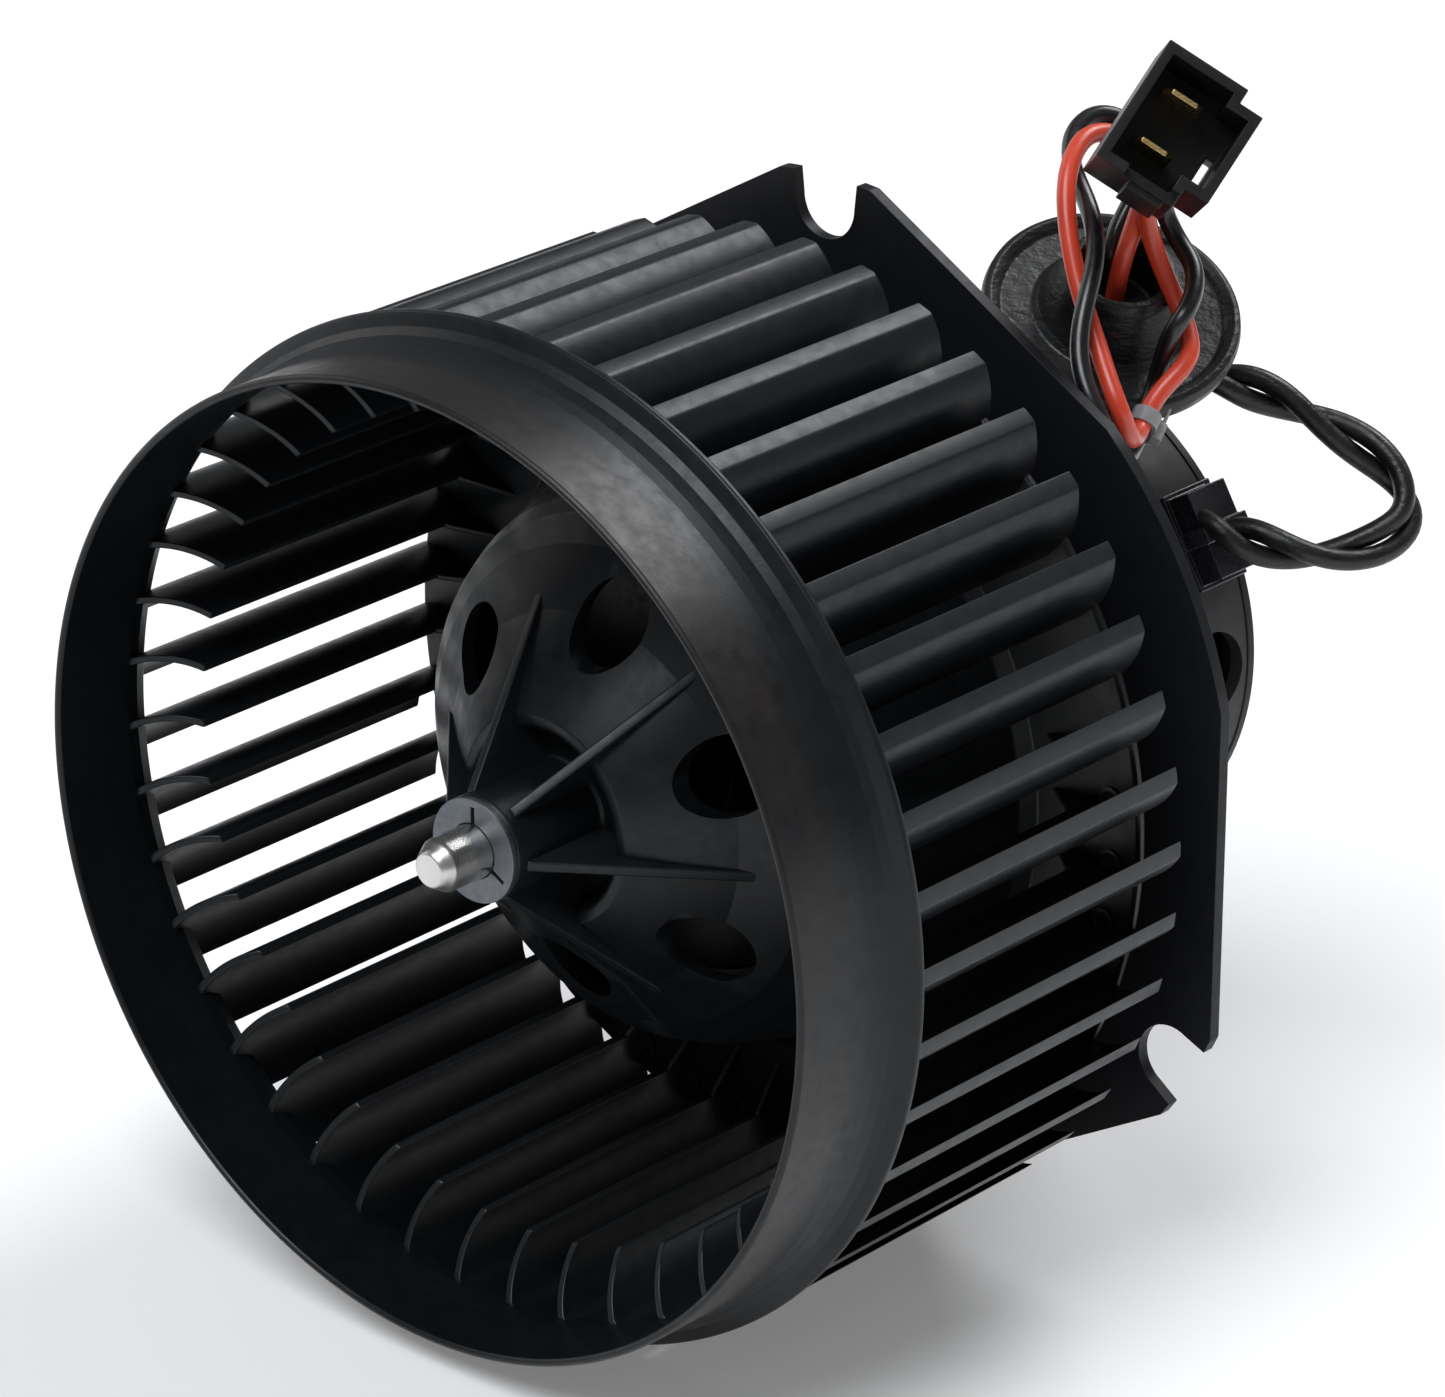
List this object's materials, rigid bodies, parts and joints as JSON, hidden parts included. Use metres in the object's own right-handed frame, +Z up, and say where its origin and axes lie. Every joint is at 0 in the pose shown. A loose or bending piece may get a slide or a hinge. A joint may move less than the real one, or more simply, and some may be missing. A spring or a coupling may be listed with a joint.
{
  "type": "blower motor wheel",
  "caption": "Squirrel-cage blower wheel on a flanged cylindrical motor, with a grommet and a two-pin plug on its leads.",
  "frame": {"origin": "on the shaft axis, at the flange's wheel-side face", "axes": "-Y along the shaft towards the wheel's open eye, +Y towards the motor's rear, +Z up, the leads on the upper +X side"},
  "size_m": [0.1522, 0.155, 0.1806],
  "materials": {
    "wheel_plastic": "satin moulded plastic",
    "nut_steel": "stamped steel, dull",
    "shaft_steel": "ground steel",
    "lamination_steel": "stacked sheet",
    "copper_wire": "enamelled wire",
    "red_insulation": "fibre",
    "phenolic": "moulded",
    "copper_bar": "turned",
    "washer_steel": "plain",
    "housing_plastic": "satin moulded plastic",
    "cover_plastic": "satin moulded plastic",
    "zinc_plate": "zinc plated",
    "ferrite": "ground",
    "spring_steel": "plain",
    "sintered_bronze": "sintered",
    "brass_sheet": "folded sheet",
    "carbon": "pressed carbon",
    "isolator_rubber": "moulded rubber",
    "block_plastic": "moulded plastic, a little shiny",
    "sleeving": "soft sleeve",
    "red_insulated_wire": "glossy",
    "black_insulated_wire": "glossy",
    "grommet_rubber": "moulded rubber",
    "tie_nylon": "grey nylon",
    "plug_plastic": "moulded plastic",
    "brass_blade": "bright sheet"
  },
  "bodies": {
    "base": {"flange_housing": "housing_plastic", "rear_cover": "cover_plastic", "motor_can": "zinc_plate", "end_cap": "zinc_plate", "magnets": "ferrite", "magnet_clips": "spring_steel", "bearing_front": "sintered_bronze", "bearing_rear": "sintered_bronze", "bearing_retainers": "spring_steel", "brush_card": "phenolic", "brush_holders": "brass_sheet", "brushes": "carbon", "brush_springs": "spring_steel", "isolator_front": "isolator_rubber", "isolator_rear": "isolator_rubber", "terminal_block": "block_plastic", "terminal_tabs": "brass_sheet", "lead_sleeved_a": "sleeving", "lead_sleeved_b": "sleeving", "lead_red": "red_insulated_wire", "lead_black": "black_insulated_wire", "grommet": "grommet_rubber", "cable_tie": "tie_nylon", "connector_housing": "plug_plastic", "connector_blades": "brass_blade"},
    "rotor": {"wheel_hub": "wheel_plastic", "hub_dome_upper": "wheel_plastic", "hub_dome_lower": "wheel_plastic", "wheel_blades": "wheel_plastic", "wheel_ring": "wheel_plastic", "push_nut": "nut_steel", "shaft": "shaft_steel", "armature_core": "lamination_steel", "armature_winding": "copper_wire", "slot_insulators": "red_insulation", "commutator_core": "phenolic", "commutator_bars": "copper_bar", "thrust_washers": "washer_steel"}
  },
  "joints": [
    {"name": "wheel_spin", "type": "hinge", "parent": "base", "child": "rotor", "pos_m": [0, 0, 0], "axis": [0, -1, 0], "continuous": true}
  ]
}
